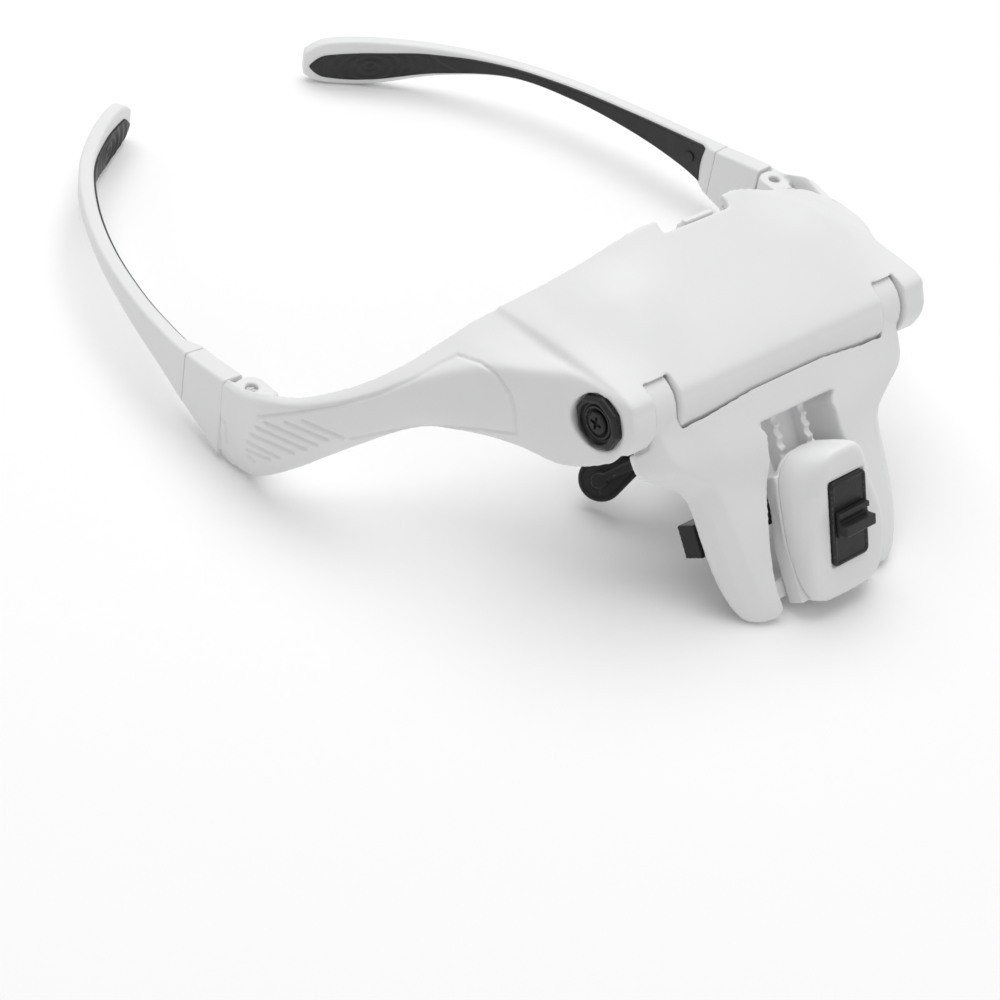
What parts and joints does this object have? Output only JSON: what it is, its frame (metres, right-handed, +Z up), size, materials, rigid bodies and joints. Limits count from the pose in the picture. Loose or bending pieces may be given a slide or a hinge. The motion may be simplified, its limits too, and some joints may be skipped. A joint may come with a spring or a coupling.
{
  "type": "lighted headband magnifier",
  "caption": "Magnifier headset with spectacle temples, a flip-up lens bracket, a sliding lamp and adjustable nose pads.",
  "frame": {"origin": "middle of the bounding box's base, on the plane that the bracket's legs and the temple tips rest on", "axes": "+X to the wearer's left, -Y to the front, +Z up"},
  "size_m": [0.1548, 0.2054, 0.0579],
  "materials": {
    "white_plastic": "satin gloss",
    "inner_plastic": "satin",
    "black_plastic": "satin",
    "black_rubber": "matt, rippled",
    "steel": "nickel plated",
    "dark_steel": "blackened",
    "grey_plastic": "matt",
    "board": "lacquered",
    "gilt_contact": "bright",
    "clear_plastic": "clear",
    "led_resin": "clear resin"
  },
  "bodies": {
    "visor": {"visor_shell": "white_plastic", "brow_cover": "inner_plastic", "brow_cover_screws": "steel", "friction_washers": "steel", "right_hinge_screw": "steel", "left_hinge_screw": "steel", "nose_bracket": "black_plastic", "nose_bracket_screws": "steel"},
    "bracket": {"flip_bracket": "white_plastic", "right_pivot_knob": "black_plastic", "left_pivot_knob": "black_plastic", "right_pivot_screw": "dark_steel", "left_pivot_screw": "dark_steel", "lens_carrier": "black_plastic", "lens_carrier_screws": "steel"},
    "lamp": {"lamp_rear_housing": "white_plastic", "lamp_front_cover": "white_plastic", "lamp_screws": "steel", "click_spring": "steel", "switch_bezel": "black_plastic", "switch_body": "grey_plastic", "circuit_board": "board", "button_cells": "steel", "battery_contacts": "gilt_contact", "battery_door": "white_plastic", "leds": "led_resin", "led_holder": "black_plastic", "led_window": "clear_plastic"},
    "switch": {"switch_slider": "black_plastic"},
    "right_pad": {"right_nose_pad": "black_rubber"},
    "left_pad": {"left_nose_pad": "black_rubber"},
    "right_arm": {"right_hinge_link": "white_plastic", "right_temple": "white_plastic", "right_temple_lining": "black_rubber", "right_lining_screw": "dark_steel"},
    "left_arm": {"left_hinge_link": "white_plastic", "left_temple": "white_plastic", "left_temple_lining": "black_rubber", "left_lining_screw": "dark_steel"}
  },
  "joints": [
    {"name": "bracket_flip", "type": "hinge", "parent": "visor", "child": "bracket", "pos_m": [0, -0.0665, 0.0385], "axis": [-1, 0, 0], "range_deg": [-20, 65]},
    {"name": "lamp_slide", "type": "slide", "parent": "bracket", "child": "lamp", "axis": [0, 0.6018, 0.7986], "range_m": [0, 0.005]},
    {"name": "switch_slide", "type": "slide", "parent": "lamp", "child": "switch", "axis": [0, 0.3502, 0.9367], "range_m": [-0.002, 0.002]},
    {"name": "right_pad_turn", "type": "hinge", "parent": "visor", "child": "right_pad", "pos_m": [-0.0205, -0.0526, 0.006], "axis": [0.7517, 0.451, -0.4811], "range_deg": [-15, 15]},
    {"name": "left_pad_turn", "type": "hinge", "parent": "visor", "child": "left_pad", "pos_m": [0.0205, -0.0526, 0.006], "axis": [-0.7517, 0.451, -0.4811], "range_deg": [-15, 15]},
    {"name": "right_temple_fold", "type": "hinge", "parent": "visor", "child": "right_arm", "pos_m": [-0.0733, -0.0063, 0.0101], "axis": [0, 0, -1], "range_deg": [0, 80]},
    {"name": "left_temple_fold", "type": "hinge", "parent": "visor", "child": "left_arm", "pos_m": [0.0733, -0.0063, 0.0101], "axis": [0, 0, 1], "range_deg": [0, 60]}
  ]
}
